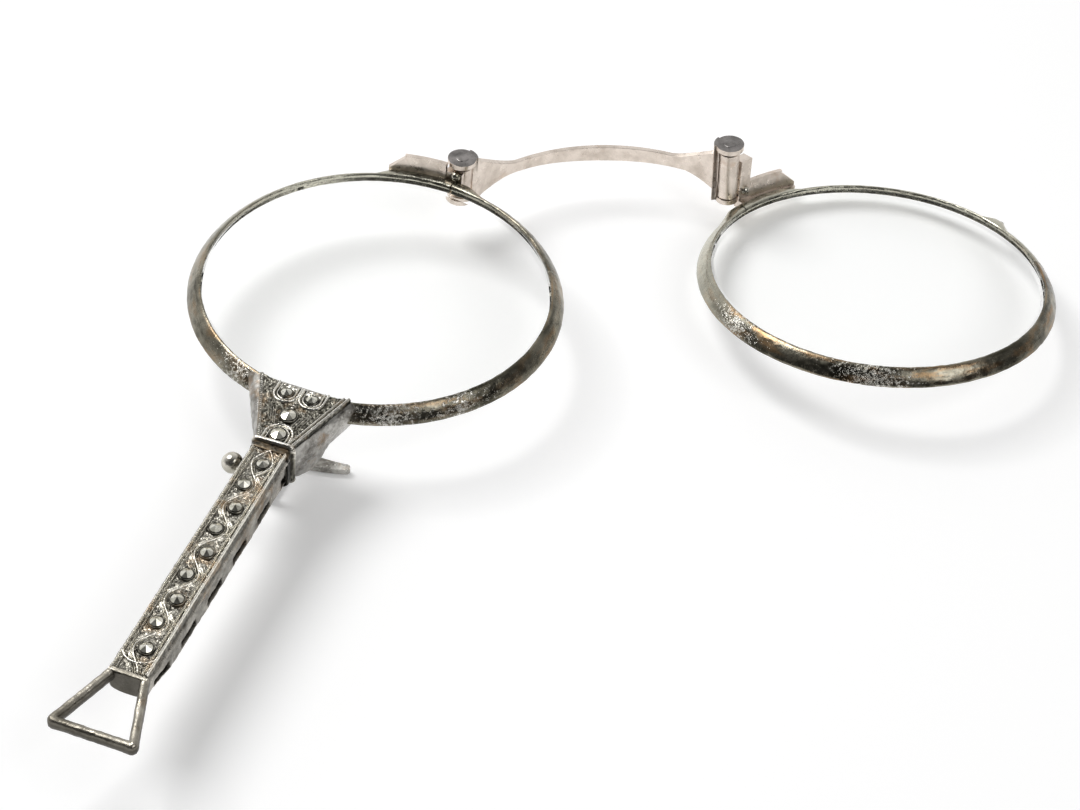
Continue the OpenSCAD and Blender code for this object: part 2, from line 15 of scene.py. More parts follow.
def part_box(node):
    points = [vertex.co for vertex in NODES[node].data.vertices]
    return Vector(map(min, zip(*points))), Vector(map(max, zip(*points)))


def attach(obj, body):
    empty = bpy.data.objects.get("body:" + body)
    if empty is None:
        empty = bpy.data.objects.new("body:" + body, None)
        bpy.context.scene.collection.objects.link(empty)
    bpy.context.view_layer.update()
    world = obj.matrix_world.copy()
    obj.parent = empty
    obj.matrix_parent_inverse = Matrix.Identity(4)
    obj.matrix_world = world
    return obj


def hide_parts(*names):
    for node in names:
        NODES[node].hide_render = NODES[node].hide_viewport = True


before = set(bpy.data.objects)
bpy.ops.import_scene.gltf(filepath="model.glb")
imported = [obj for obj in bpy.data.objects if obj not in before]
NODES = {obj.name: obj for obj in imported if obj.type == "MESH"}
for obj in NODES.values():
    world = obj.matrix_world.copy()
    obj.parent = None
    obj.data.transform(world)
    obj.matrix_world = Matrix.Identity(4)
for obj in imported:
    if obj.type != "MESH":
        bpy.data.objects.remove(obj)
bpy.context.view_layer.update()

MM = 0.001
LENS_LOW, LENS_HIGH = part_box("left_lens")
ORIGIN = np.array((LENS_LOW + LENS_HIGH) / 2)

LENS_SPACING, LENS_DROP, LENS_TILT = 61.3, 3.6, math.radians(8)
LEFT_HINGE, RIGHT_HINGE = (13.1, 19.4), (47.1, 19.0)
RIM_R = 21.0
LUG_TURN = math.radians(27)

# Handle
HANDLE_ANGLE = math.radians(-120.2)
HANDLE_SHIFT = 0.25
CASE_W = 4.1
CASE_BOTTOM, CASE_TOP, PLATE_TOP = -2.6, 1.5, 2.1
HEAD_START, HEAD_END, COLLAR_END, CASE_END = 20.9, 29.6, 31.0, 64.2
HEAD_W = (10.3, 4.2)
HEAD_SKEW = 0.05
# The head's keel: distance along the handle and height
HEAD_KEEL = np.array([[20.1, -2.05], [23.6, -2.3], [24.3, -2.9], [25, -3.7], [26.2, -4.1], [28, -3.7],
                      [29.6, -2.9]])
FIRST_SLOT, SLOT_PITCH, SLOTS = 30.7, 6.12, 6
KNOB_PLACE = 31.9
LOOP_Z = 1.2

# Corners of the rim's section outside its groove, measured outward and up from the wire's middle.
# The section is fuller where a bracket clamps the rim
RIM_CLAMPED = ((-0.77, -0.36), (-0.7, -0.5), (-0.2, -0.88), (0.4, -0.97), (0.8, -0.8), (0.84, -0.4),
               (0.84, 0.3), (0.66, 0.8), (0.1, 1.0), (-0.6, 0.97), (-0.83, 0.7), (-0.77, 0.36))
RIM_SECTION = ((-0.77, -0.36), (-0.7, -0.5), (-0.2, -0.78), (0.5, -0.97), (0.8, -0.93), (0.84, -0.72),
               (0.42, 0.05), (-0.12, 0.66), (-0.55, 0.99), (-0.8, 0.97), (-0.83, 0.7), (-0.77, 0.36))

# Stones: distance along the handle, distance across it and radius
FIRST_STONE, STONE_PITCH, STONE_SHIFT, HANDLE_STONES = 33.3, 3.47, 0.3, 9
STONE_R = (0.68, 0.75, 0.93)
STONE_RISE = 0.45


def head_part(r):
    """How far a place on the head is from the collar, as a share of the head's length."""
    return (HEAD_END - r) / (HEAD_END - HEAD_START)


def head_half(r):
    """Half the head's width, which falls straight toward the collar."""
    return (HEAD_W[1] + (HEAD_W[0] - HEAD_W[1]) * head_part(r)) / 2


def head_mid(r):
    """The middle of the head across the handle."""
    return -HEAD_SKEW * (HEAD_END - r)


HEAD_STONES = [(22.2, head_mid(22.2) - 1.5, STONE_R[0]), (22.2, head_mid(22.2) + 1.5, STONE_R[0]),
               (25.45, head_mid(25.45), STONE_R[2]), (28.5, head_mid(28.5), STONE_R[2])]
ROW_STONES = [(FIRST_STONE + STONE_PITCH * i, STONE_SHIFT * (-1) ** i, STONE_R[1])
              for i in range(HANDLE_STONES)]


def on_handle(r, s, z):
    """Points of the handle in metres: r and s are turned by the handle's angle about the lens's centre."""
    r, s, z = np.broadcast_arrays(r, np.asarray(s) + HANDLE_SHIFT, z)
    x = r * math.cos(HANDLE_ANGLE) - s * math.sin(HANDLE_ANGLE)
    y = r * math.sin(HANDLE_ANGLE) + s * math.cos(HANDLE_ANGLE)
    return ORIGIN + MM * np.stack([x, y, z], axis=-1)


# Meshes


def make_object(name, points, faces, material, smooth_angle=35):
    """An object from an array of points and a list of faces, with edges sharper than the angle kept."""
    mesh = bpy.data.meshes.new(name)
    mesh.from_pydata(np.asarray(points).reshape(-1, 3).tolist(), [], faces)
    mesh.materials.append(material)
    mesh.polygons.foreach_set("use_smooth", [True] * len(mesh.polygons))
    mesh.set_sharp_from_angle(angle=math.radians(smooth_angle))
    mesh.update()
    piece = bpy.data.objects.new(name, mesh)
    bpy.context.scene.collection.objects.link(piece)
    return piece


def grid_faces(rows, columns, wrap_rows=False, wrap_columns=False):
    """Quads that join neighbouring points of a grid stored row by row."""
    rows_used, columns_used = rows - (not wrap_rows), columns - (not wrap_columns)
    i, j = np.meshgrid(np.arange(rows_used), np.arange(columns_used), indexing="ij")
    row, below, beside = i * columns, (i + 1) % rows * columns, (j + 1) % columns
    quads = np.stack([row + j, below + j, below + beside, row + beside], -1)
    return quads.reshape(-1, 4).tolist()


def closed_bar(name, points, material, smooth_angle=40):
    """A bar from a grid of points, whose sections are closed in themselves and at both ends."""
    rows, columns = points.shape[:2]
    section = np.arange(columns)
    faces = grid_faces(rows, columns, wrap_columns=True)
    faces += [section.tolist(), (section + (rows - 1) * columns).tolist()]
    return make_object(name, points, faces, material, smooth_angle)


def finish_normals(piece):
    """Joins a closed mesh's doubled points and turns its faces outward."""
    bm = bmesh.new()
    bm.from_mesh(piece.data)
    bmesh.ops.remove_doubles(bm, verts=bm.verts, dist=1e-7)
    bmesh.ops.recalc_face_normals(bm, faces=bm.faces)
    bm.to_mesh(piece.data)
    bm.free()
    return piece


def seat(piece, body, slot, *nodes):
    """Puts a finished piece on its body and hides the solids that it stands for; its slot is not used."""
    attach(piece, body)
    if nodes:
        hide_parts(*nodes)
    return piece


def give_attribute(piece, name, values):
    """A number at each point, which the piece's material reads by its name."""
    layer = piece.data.attributes.new(name, "FLOAT", "POINT")
    layer.data.foreach_set("value", np.asarray(values, np.float32).ravel())


def relief_plate(name, r, s, height, bottom, material):
    """A plate whose top is the grid (r, s, PLATE_TOP + height), with a skirt down to a flat bottom."""
    rows, columns = r.shape
    top = on_handle(r, s, PLATE_TOP + height).reshape(-1, 3)
    ring = np.concatenate([np.arange(columns), np.arange(1, rows) * columns + columns - 1,
                           (rows - 1) * columns + np.arange(columns - 2, -1, -1),
                           np.arange(rows - 2, 0, -1) * columns])
    low = on_handle(r.ravel()[ring], s.ravel()[ring], np.full(len(ring), bottom))
    count = rows * columns
    under = count + np.arange(len(ring))
    skirt = np.stack([ring, np.roll(ring, -1), np.roll(under, -1), under], -1).tolist()
    faces = grid_faces(rows, columns) + skirt + [under[::-1].tolist()]
    piece = make_object(name, np.concatenate([top, low]), faces, material, smooth_angle=50)
    shine = (height - height.min()) / (height.max() - height.min())
    give_attribute(piece, "relief", np.concatenate([shine.ravel(), shine.ravel()[ring] * 0.6]))
    return finish_normals(piece)


# Relief


def grain(x, y, size, seed):
    """Smooth random height from 0 to 1: values on a square lattice, blended by a smooth step."""
    table = np.random.default_rng(seed).random((97, 97))
    u, v = x / size, y / size
    i, j = np.floor(u).astype(int), np.floor(v).astype(int)
    a, b = u - i, v - j
    a, b = a * a * (3 - 2 * a), b * b * (3 - 2 * b)
    at = lambda di, dj: table[(i + di) % 97, (j + dj) % 97]
    return (at(0, 0) * (1 - a) + at(1, 0) * a) * (1 - b) + (at(0, 1) * (1 - a) + at(1, 1) * a) * b


def ridge(distance, width, height):
    """A rounded ridge: a parabola of the distance from its middle line."""
    return height * np.clip(1 - (distance / width) ** 2, 0, None)


def beads(along, pitch):
    """A row of beads along a ridge, from 0.35 between them to 1 on top."""
    return 0.35 + 0.65 * np.abs(np.sin(math.pi * along / pitch))


def leaf(r, s, place, length, width, angle, height):
    """A leaf: a ridge whose width is a parabola along its turned axis."""
    a = math.radians(angle)
    x = ((r - place[0]) * math.cos(a) + (s - place[1]) * math.sin(a)) / length
    y = (-(r - place[0]) * math.sin(a) + (s - place[1]) * math.cos(a)) / width
    inside = np.clip(1 - x * x - np.abs(y) ** 1.5, 0, None)
    return height * np.sqrt(inside) * (1 - 0.45 * np.exp(-(y / 0.18) ** 2))


RECESS = -0.26


def carve(r, s, layers, stones, seed):
    """The highest of the layers over a granular ground, with a round pit where each stone sits."""
    ground = 0.12 * grain(r, s, 0.21, seed) + 0.09 * grain(r, s, 0.1, seed + 1)
    height = np.maximum.reduce([RECESS + ground] + [RECESS + layer for layer in layers])
    height += 0.05 * (grain(r, s, 0.13, seed + 2) - 0.5)
    for place, across, radius in stones:
        away = np.hypot(r - place, s - across)
        height = np.where(away < radius + 0.13, RECESS - 0.06, height)
    return height


def bow(r, s, place, across, opens):
    """Distance from a point on a U that opens along the handle's direction given."""
    return np.where((r - place) * opens < 0, np.hypot(r - place, s - across), np.abs(s - across))


def head_relief(r, s):
    """The head's pattern: edge lines, bows round three stones, fans of straight lines and round drops."""
    right_edge = head_mid(r) + head_half(r) - s
    left_edge = s - head_mid(r) + head_half(r)
    layers = [ridge(np.abs(right_edge - 0.2), 0.22, 0.36), ridge(np.abs(right_edge - 0.68), 0.17, 0.32),
              ridge(np.abs(left_edge - 0.25), 0.26, 0.3) * beads(r, 0.3)]
    for place, across, _ in HEAD_STONES[:2]:
        around = bow(r, s, place, across, -1)
        layers += [ridge(np.abs(around - 1.38), 0.21, 0.4), ridge(np.abs(around - 0.98), 0.15, 0.34)]
        inner = (around < 0.85) & (r < place - 0.5)
        layers += [(0.1 + 0.24 * grain(r, s, 0.19, 8)) * inner]
    place, across, _ = HEAD_STONES[3]
    around = bow(r, s, place, across, 1)
    layers += [ridge(np.abs(around - 1.52), 0.21, 0.4), ridge(np.abs(around - 1.12), 0.15, 0.34)]
    for k in range(4):
        line = np.abs(s - head_mid(r) - 0.95 - 0.3 * k + 0.3 * (r - 26.3))
        layers += [ridge(line, 0.11, 0.26) * (np.abs(r - 26.4 + 0.3 * k) < 1.0)]
        line = np.abs(s - head_mid(r) + 1.15 + 0.26 * k - 0.34 * (r - 26.6))
        layers += [ridge(line, 0.1, 0.24) * (np.abs(r - 26.2 + 0.35 * k) < 1.1)]
    for k in range(3):
        layers += [ridge(np.hypot(r - 24.1 + 0.42 * k, s - head_mid(r) + 0.1 - 0.05 * k) - 0.05, 0.17, 0.26)]
    gap = np.abs(s - head_mid(r)) < 0.3
    layers += [0.2 * grain(r, s, 0.2, 14) * gap * (r < 23.2)]
    return carve(r, s, layers, HEAD_STONES, 51)


def handle_relief(r, s):
    """The handle's pattern: beaded edge rows and a vine, a cosine along r, with leaves round the stones."""
    layers = [ridge(np.abs(s + 1.8), 0.24, 0.42) * beads(r, 0.3),
              ridge(np.abs(s + 1.36), 0.15, 0.36) * beads(r, 0.22),
              ridge(np.abs(s - 1.83), 0.2, 0.44),
              ridge(np.abs(s - 1.36), 0.19, 0.42) * beads(r + 0.1, 0.26)]
    phase = math.pi * (r - FIRST_STONE) / STONE_PITCH
    slope = 0.92 * math.pi / STONE_PITCH * np.abs(np.sin(phase))
    vine = np.abs(s + 0.04 + 0.92 * np.cos(phase)) / np.sqrt(1 + slope ** 2)
    free = (r > FIRST_STONE + 2.0) & (np.abs(s) < 1.25)
    layers += [ridge(vine, 0.16, 0.34) * free, ridge(np.abs(vine - 0.27), 0.08, 0.26) * free,
               ridge(np.abs(vine - 0.47), 0.07, 0.2) * free]
    for place, across, _ in ROW_STONES[1:]:
        side = 1 if across < 0 else -1
        layers += [leaf(r, s, (place - 1.2, 0.72 * side), 0.8, 0.34, 38 * side, 0.32),
                   leaf(r, s, (place + 1.1, 0.8 * side), 0.75, 0.3, -36 * side, 0.3),
                   leaf(r, s, (place + 1.65, -0.5 * side), 0.62, 0.24, 60 * side, 0.3),
                   leaf(r, s, (place - 1.75, -0.62 * side), 0.55, 0.22, -56 * side, 0.28)]
    place, across, _ = ROW_STONES[0]
    oval = 1.1 * np.clip(1 - np.abs((r - place + 0.1) / 2.1) ** 1.6, 0, None)
    for inset, width, height in ((0.0, 0.17, 0.36), (0.36, 0.09, 0.26)):
        line = np.abs(np.abs(s - across * 0.5) - oval + inset) / 1.25
        layers += [ridge(line, width, height) * (oval > inset)]
    layers += [ridge(np.abs(np.hypot(r - ROW_STONES[-1][0], s) - 2.0), 0.2, 0.34) * (r > 62)]
    return carve(r, s, layers, ROW_STONES, 61)


# Materials


def node_tree(name):
    """A new material with an empty node tree."""
    material = bpy.data.materials.new(name)
    material.use_nodes = True
    tree = material.node_tree
    tree.nodes.clear()
    return material, tree


def add(tree, kind, **values):
    """A node with its settings and its sockets' values."""
    node = tree.nodes.new(kind)
    for key, value in values.items():
        if key in node.inputs:
            node.inputs[key].default_value = value
        else:
            setattr(node, key, value)
    return node


def noise(tree, scale, detail=4, roughness=0.6):
    """Noise on the piece's own coordinates, with its scale per metre."""
    place = add(tree, "ShaderNodeTexCoord").outputs["Object"]
    texture = add(tree, "ShaderNodeTexNoise", Scale=scale, Detail=detail, Roughness=roughness)
    tree.links.new(place, texture.inputs["Vector"])
    return texture.outputs["Fac"]


def ramp(tree, fac, low, high, start=0.0, end=1.0):
    """Maps a factor between two limits to a range."""
    node = add(tree, "ShaderNodeMapRange")
    node.inputs["From Min"].default_value = low
    node.inputs["From Max"].default_value = high
    node.inputs["To Min"].default_value = start
    node.inputs["To Max"].default_value = end
    tree.links.new(fac, node.inputs["Value"])
    return node.outputs["Result"]


def blend(tree, fac, first, second):
    """A colour between two, each a tuple or a socket."""
    node = add(tree, "ShaderNodeMix", data_type="RGBA")
    tree.links.new(fac, node.inputs["Factor"])
    for socket, colour in ((node.inputs[6], first), (node.inputs[7], second)):
        if isinstance(colour, tuple):
            socket.default_value = (*colour, 1)
        else:
            tree.links.new(colour, socket)
    return node.outputs[2]


def math_node(tree, operation, first, second=0.5):
    """A number from one or two others by one operation."""
    node = add(tree, "ShaderNodeMath", operation=operation)
    for socket, value in zip(node.inputs, (first, second)):
        if isinstance(value, (int, float)):
            socket.default_value = value
        else:
            tree.links.new(value, socket)
    return node.outputs[0]


def close_material(tree, colour, roughness, bump, bump_strength, bump_distance):
    """The metal's shader and output, with a bump whose distance is in millimetres."""
    shader = add(tree, "ShaderNodeBsdfPrincipled", Metallic=1.0)
    output = add(tree, "ShaderNodeOutputMaterial")
    relief = add(tree, "ShaderNodeBump", Strength=bump_strength, Distance=bump_distance * MM)
    tree.links.new(bump, relief.inputs["Height"])
    tree.links.new(relief.outputs["Normal"], shader.inputs["Normal"])
    tree.links.new(colour, shader.inputs["Base Color"])
    tree.links.new(roughness, shader.inputs["Roughness"])
    tree.links.new(shader.outputs["BSDF"], output.inputs["Surface"])


def old_silver(name, dark, light, stain, stain_from, rough, pits, fleck=None, wear=0.5, sides=0.0):
    """Silver with soft clouds between a dark and a light tone, brown stains, pits and fine scratches.

    Faces that look sideways or down are darker by the share given: painted shade. Where a piece gives
    the slot attribute read below, which is 1 in a slot, the colour is painted near black: painted shade.
    """
    material, tree = node_tree(name)
    clouds = noise(tree, 420, 5, 0.62)
    colour = blend(tree, ramp(tree, clouds, wear - 0.16, wear + 0.16), dark, light)
    stains = noise(tree, 260, 4, 0.7)
    colour = blend(tree, ramp(tree, stains, stain_from, stain_from + 0.12, 0, 0.7), colour, stain)
    fine = noise(tree, 3800, 3, 0.7)
    colour = blend(tree, ramp(tree, fine, 0.62, 0.78, 0, 0.55), colour, tuple(c * 0.35 for c in dark))
    if fleck:
        speckle = noise(tree, 1900, 5, 0.8)
        colour = blend(tree, ramp(tree, speckle, fleck[1], fleck[1] + 0.04, 0, 0.9), colour, fleck[0])
    if sides:
        normal = add(tree, "ShaderNodeSeparateXYZ")
        tree.links.new(add(tree, "ShaderNodeTexCoord").outputs["Normal"], normal.inputs["Vector"])
        # Painted shade: the more a face looks sideways or down, the more it is blended toward a darker tone.
        side_shade = ramp(tree, normal.outputs["Z"], 0.75, 0.1, 0, sides)
        colour = blend(tree, side_shade, colour, tuple(c * 0.3 for c in dark))
    # Painted shade in slots and grooves: where the piece marks them, the colour goes near black.
    opening = add(tree, "ShaderNodeAttribute", attribute_name="open").outputs["Fac"]
    colour = blend(tree, opening, colour, (0.006, 0.006, 0.005))
    roughness = ramp(tree, noise(tree, 900, 3, 0.6), 0.35, 0.65, *rough)
    bump = math_node(tree, "ADD", noise(tree, 2600, 4, 0.65), math_node(tree, "MULTIPLY", fine, 0.6))
    close_material(tree, colour, roughness, bump, pits, 0.05)
    return material


def carved_silver(name, dark, light, stain):
    """Silver whose recesses are dark and whose raised edges are worn bright, by the piece's relief."""
    material, tree = node_tree(name)
    relief = add(tree, "ShaderNodeAttribute", attribute_name="relief").outputs["Fac"]
    worn = math_node(tree, "ADD", relief, ramp(tree, noise(tree, 2300, 4, 0.75), 0.3, 0.7, -0.14, 0.14))
    middle = blend(tree, ramp(tree, worn, 0.26, 0.5), dark, stain)
    colour = blend(tree, ramp(tree, worn, 0.5, 0.72), middle, light)
    brown = ramp(tree, noise(tree, 330, 4, 0.65), 0.54, 0.68, 0, 0.45)
    colour = blend(tree, brown, colour, tuple(c * k for c, k in zip(stain, (1.25, 0.95, 0.7))))
    roughness = ramp(tree, worn, 0.1, 0.8, 0.42, 0.2)
    close_material(tree, colour, roughness, noise(tree, 4200, 4, 0.7), 0.4, 0.05)
    return material


def rim_silver(name, brown, flecked, sheen_arc):
    """The rims' glossy dark patina: brown along the wire, and bright pitted silver where it is rubbed.

    The piece gives the angle round the lens in turns, from which the rubbed arcs and the paler arc
    opposite the handle, a painted sheen, are counted.
    """
    material, tree = node_tree(name)
    turn = add(tree, "ShaderNodeAttribute", attribute_name="turn").outputs["Fac"]
    across = add(tree, "ShaderNodeAttribute", attribute_name="across").outputs["Fac"]
    clouds = noise(tree, 190, 5, 0.62)
    colour = blend(tree, ramp(tree, clouds, 0.4, 0.62), (0.10, 0.093, 0.07), (0.30, 0.278, 0.22))
    streak = add(tree, "ShaderNodeCombineXYZ")
    tree.links.new(math_node(tree, "MULTIPLY", turn, 26.0), streak.inputs["X"])
    tree.links.new(math_node(tree, "MULTIPLY", across, 7.0), streak.inputs["Y"])
    streaks = add(tree, "ShaderNodeTexNoise", Scale=1.0, Detail=4, Roughness=0.6)
    tree.links.new(streak.outputs["Vector"], streaks.inputs["Vector"])
    streaks = streaks.outputs["Fac"]
    colour = blend(tree, ramp(tree, streaks, 0.5, 0.66, 0, brown), colour, (0.36, 0.215, 0.10))
    colour = blend(tree, ramp(tree, streaks, 0.47, 0.33, 0, 0.85), colour, (0.06, 0.056, 0.04))
    # Painted sheen: a pale arc about a quarter turn round the lens, with the width pair given for it.
    far = ramp(tree, math_node(tree, "ABSOLUTE", math_node(tree, "SUBTRACT", turn, 0.26)), *sheen_arc, 0.85, 0)
    colour = blend(tree, far, colour, (0.60, 0.585, 0.49))
    flecks = noise(tree, 2600, 6, 0.85)
    rubbed = None
    for centre, half in flecked:
        away = math_node(tree, "ABSOLUTE", math_node(tree, "SUBTRACT", turn, centre))
        arc = ramp(tree, away, 0.0, half, 1.0, 0.0)
        rubbed = arc if rubbed is None else math_node(tree, "MAXIMUM", rubbed, arc)
    level = math_node(tree, "ADD", flecks, math_node(tree, "MULTIPLY", rubbed, 0.15))
    silver = ramp(tree, level, 0.65, 0.69, 0, 0.85)
    colour = blend(tree, silver, colour, (0.88, 0.86, 0.80))
    fine = noise(tree, 3400, 3, 0.7)
    colour = blend(tree, ramp(tree, fine, 0.6, 0.72, 0, 0.65), colour, (0.05, 0.045, 0.035))
    roughness = ramp(tree, noise(tree, 800, 3, 0.6), 0.35, 0.65, 0.12, 0.32)
    bump = math_node(tree, "ADD", math_node(tree, "MULTIPLY", silver, 0.7), fine)
    close_material(tree, colour, roughness, bump, 0.35, 0.06)
    return material


def stone_material():
    """A metallic stone, polished but never quite even."""
    material, tree = node_tree("faceted_stone")
    clouds = ramp(tree, noise(tree, 1300, 3, 0.6), 0.35, 0.65)
    colour = blend(tree, clouds, (0.62, 0.60, 0.51), (0.90, 0.88, 0.79))
    roughness = ramp(tree, noise(tree, 2500, 3, 0.6), 0.3, 0.7, 0.14, 0.24)
    close_material(tree, colour, roughness, noise(tree, 1800, 3, 0.6), 0.1, 0.03)
    return material


def lens_glass():
    """Clear glass, seen through by the light that falls on the floor."""
    material, tree = node_tree("lens_glass")
    glass = add(tree, "ShaderNodeBsdfPrincipled", Roughness=0.0, IOR=1.14, **{"Transmission Weight": 1.0})
    glass.inputs["Base Color"].default_value = (0.99, 0.995, 0.99, 1)
    clear = add(tree, "ShaderNodeBsdfTransparent")
    choice = add(tree, "ShaderNodeMixShader")
    path = add(tree, "ShaderNodeLightPath")
    through = math_node(tree, "MAXIMUM", path.outputs["Is Shadow Ray"], path.outputs["Is Diffuse Ray"])
    tree.links.new(through, choice.inputs["Fac"])
    tree.links.new(glass.outputs["BSDF"], choice.inputs[1])
    tree.links.new(clear.outputs["BSDF"], choice.inputs[2])
    output = add(tree, "ShaderNodeOutputMaterial")
    tree.links.new(choice.outputs["Shader"], output.inputs["Surface"])
    return material


# The last pair of each rim gives the width of its painted sheen arc.
RIM_LEFT = rim_silver("left_rim_silver", 0.45, ((0.60, 0.05), (0.74, 0.06), (0.80, 0.05)), (0.06, 0.2))
RIM_RIGHT = rim_silver("right_rim_silver", 0.7, ((0.56, 0.05), (0.70, 0.07)), (0.18, 0.3))
BRIDGE = old_silver("bridge_silver", (0.52, 0.45, 0.385), (0.80, 0.71, 0.63), (0.55, 0.42, 0.32), 0.6,
                    (0.24, 0.4), 0.14, wear=0.44)
LUG = old_silver("lug_silver", (0.10, 0.095, 0.09), (0.33, 0.31, 0.30), (0.22, 0.17, 0.13), 0.6,
                 (0.25, 0.42), 0.3)
CARVED = carved_silver("carved_silver", (0.03, 0.028, 0.022), (0.88, 0.855, 0.79), (0.30, 0.285, 0.24))
HANDLE_CARVED = carved_silver("handle_carved_silver", (0.115, 0.108, 0.092), (0.88, 0.85, 0.77),
                              (0.50, 0.475, 0.41))
FLANK = old_silver("flank_silver", (0.13, 0.12, 0.105), (0.60, 0.585, 0.55), (0.26, 0.17, 0.09), 0.54,
                   (0.22, 0.42), 0.8, fleck=((0.80, 0.785, 0.74), 0.62), wear=0.52)
SIDE = old_silver("side_silver", (0.14, 0.13, 0.11), (0.58, 0.55, 0.49), (0.26, 0.18, 0.11), 0.54,
                  (0.22, 0.42), 0.55, fleck=((0.74, 0.72, 0.66), 0.66), wear=0.52)
# The loop's faces that look sideways or down take painted shade, by the last share given.
LOOP = old_silver("loop_silver", (0.17, 0.155, 0.125), (0.44, 0.41, 0.35), (0.24, 0.18, 0.12), 0.56,
                  (0.25, 0.42), 0.6, wear=0.5, sides=0.85)
# The knob's and screws' faces that look sideways or down take painted shade, by the last share given.
BRIGHT = old_silver("bright_silver", (0.36, 0.34, 0.26), (0.74, 0.71, 0.64), (0.42, 0.33, 0.2), 0.56,
                    (0.12, 0.28), 0.3, wear=0.48, sides=0.35)
STEEL = old_silver("dark_steel", (0.14, 0.135, 0.13), (0.34, 0.33, 0.32), (0.2, 0.15, 0.1), 0.6,
                   (0.3, 0.5), 0.2)
STONE = stone_material()
GLASS = lens_glass()


# Pieces


def finish_node(node, material):
    """A CAD node that keeps its shape takes a finished material."""
    NODES[node].data.materials.clear()
    NODES[node].data.materials.append(material)


def points_of(mesh):
    """The positions of a mesh's points."""
    points = np.empty((len(mesh.vertices), 3), np.float32)
    mesh.vertices.foreach_get("co", points.ravel())
    return points.astype(float)


def softened(node, body, slot, material, width, top=None):
    """A copy of a solid with its edges worn round, as on handled silver; its upper faces may be darker."""
    bm = bmesh.new()
    bm.from_mesh(NODES[node].data)
    bmesh.ops.remove_doubles(bm, verts=bm.verts, dist=2e-6)
    bmesh.ops.dissolve_limit(bm, angle_limit=math.radians(2), verts=bm.verts, edges=bm.edges)
    mesh = bpy.data.meshes.new(node + "_worn")
    bm.to_mesh(mesh)
    bm.free()
    mesh.materials.clear()
    mesh.materials.append(material)
    if top:
        mesh.materials.append(top)
        facing, middle = np.empty((2, len(mesh.polygons), 3), np.float32)
        mesh.polygons.foreach_get("normal", facing.ravel())
        mesh.polygons.foreach_get("center", middle.ravel())
        upper = (facing[:, 2] > 0.9) & (points_of(mesh)[:, 2].max() - middle[:, 2] < 0.3 * MM)
        mesh.polygons.foreach_set("material_index", upper.astype(np.int32))
    piece = bpy.data.objects.new(node + "_worn", mesh)
    bpy.context.scene.collection.objects.link(piece)
    rounding = piece.modifiers.new("rounding", "BEVEL")
    rounding.width = width * MM
    rounding.segments = 3
    rounding.limit_method = "ANGLE"
    rounding.angle_limit = math.radians(32)
    mesh.polygons.foreach_set("use_smooth", [True] * len(mesh.polygons))
    mesh.set_sharp_from_angle(angle=math.radians(60))
    return seat(piece, body, slot, node)


def front_edge(s):
    """Where the head meets the lens side: an arc about the lens's centre."""
    return np.sqrt(HEAD_START ** 2 - (s + HANDLE_SHIFT) ** 2)


def head_plate():
    """The head's plate: a grid from the front arc to the collar, raised by the head's relief.

    A point's distance along the handle depends on its place across it, so it is found in three rounds.
    """
    along, across = np.meshgrid(np.linspace(0, 1, 200), np.linspace(-1, 1, 210), indexing="ij")
    r = HEAD_START + (HEAD_END - HEAD_START) * along
    for _ in range(3):
        s = head_mid(r) + head_half(r) * across
        r = front_edge(s) * (1 - along) + HEAD_END * along
    s = head_mid(r) + head_half(r) * across
    piece = relief_plate("head_ornament", r, s, head_relief(r, s), CASE_TOP, CARVED)
    return seat(piece, "handle", "plate_metal", "head_plate")


def handle_plate():
    """The handle's plate: a straight grid raised by the handle's relief."""
    half = CASE_W / 2
    r, s = np.meshgrid(np.linspace(COLLAR_END, CASE_END, 760), np.linspace(-half, half, 96), indexing="ij")
    piece = relief_plate("handle_ornament", r, s, handle_relief(r, s), CASE_TOP, HANDLE_CARVED)
    return seat(piece, "handle", "plate_metal", "handle_plate", "handle_border")


def head_case():
    """The head's case: sections that hang from the plate's edge, swell and close on the keel line.

    From the edge, a section goes down by a power of its share of the way and out by a sine of it. The
    left side swells most, and both draw in toward the collar.
    """
    along, turn = np.meshgrid(np.linspace(0, 1, 120), np.linspace(-1, 1, 150), indexing="ij")
    r = HEAD_START - 0.5 + (HEAD_END - HEAD_START + 0.5) * along
    keel = np.interp(r, HEAD_KEEL[:, 0], HEAD_KEEL[:, 1])
    side = np.sign(turn)
    level = 1 - np.abs(turn)
    wall = np.clip(level / 0.8, 0, 1)
    depth = np.clip((1 - np.sqrt(np.clip(1 - wall ** 2.6, 0, 1))) * 0.25 + 0.75 * wall, 0, 1)
    z = CASE_TOP + (keel - CASE_TOP) * depth
    part = 1 - along
    swell = np.where(side < 0, 0.2 + 1.65 * part ** 1.5, 0.12 + 0.5 * part)
    out = head_half(r) + 0.04 + swell * np.sin(wall ** 0.75 * math.pi) ** 0.9
    out -= np.where(side > 0, 0.5, 0.35) * (1 - part) ** 2 * wall ** 3
    under = np.clip((level - 0.8) / 0.2, 0, 1)
    rough = 0.16 * (grain(r + 40, z * 1.2 + side * 9 + 30, 0.55, 21) - 0.5)
    rough += 0.10 * (grain(r + 40, z * 1.2 + side * 9 + 30, 0.2, 22) - 0.5)
    s = head_mid(r) + side * (out * (1 - under) + rough * np.sin(wall * math.pi))
    z = z + 0.08 * (grain(r + 70, s + 40, 0.3, 23) - 0.5) * (level > 0.5)
    r = front_edge(np.clip(s, -8, 8)) * (1 - along) + HEAD_END * along
    piece = closed_bar("head_flanks", on_handle(r, s, z), FLANK, 35)
    return seat(finish_normals(piece), "handle", "case_metal", "head_case")


def trough(half, top, shoulder, low, power, count):
    """A section with straight walls down to the shoulder and, below it, half of a squared oval.

    The oval's two coordinates are powers of a cosine and a sine.
    """
    a = np.linspace(0, math.pi, count)
    wall = np.linspace(top, shoulder, 42)[:-1]
    side = np.full(len(wall), half)
    s = half * np.sign(np.cos(a)) * np.abs(np.cos(a)) ** power
    z = shoulder + (low - shoulder) * np.sin(a).clip(0) ** power
    return np.concatenate([side, s, -side]), np.concatenate([wall, z, wall[::-1]])


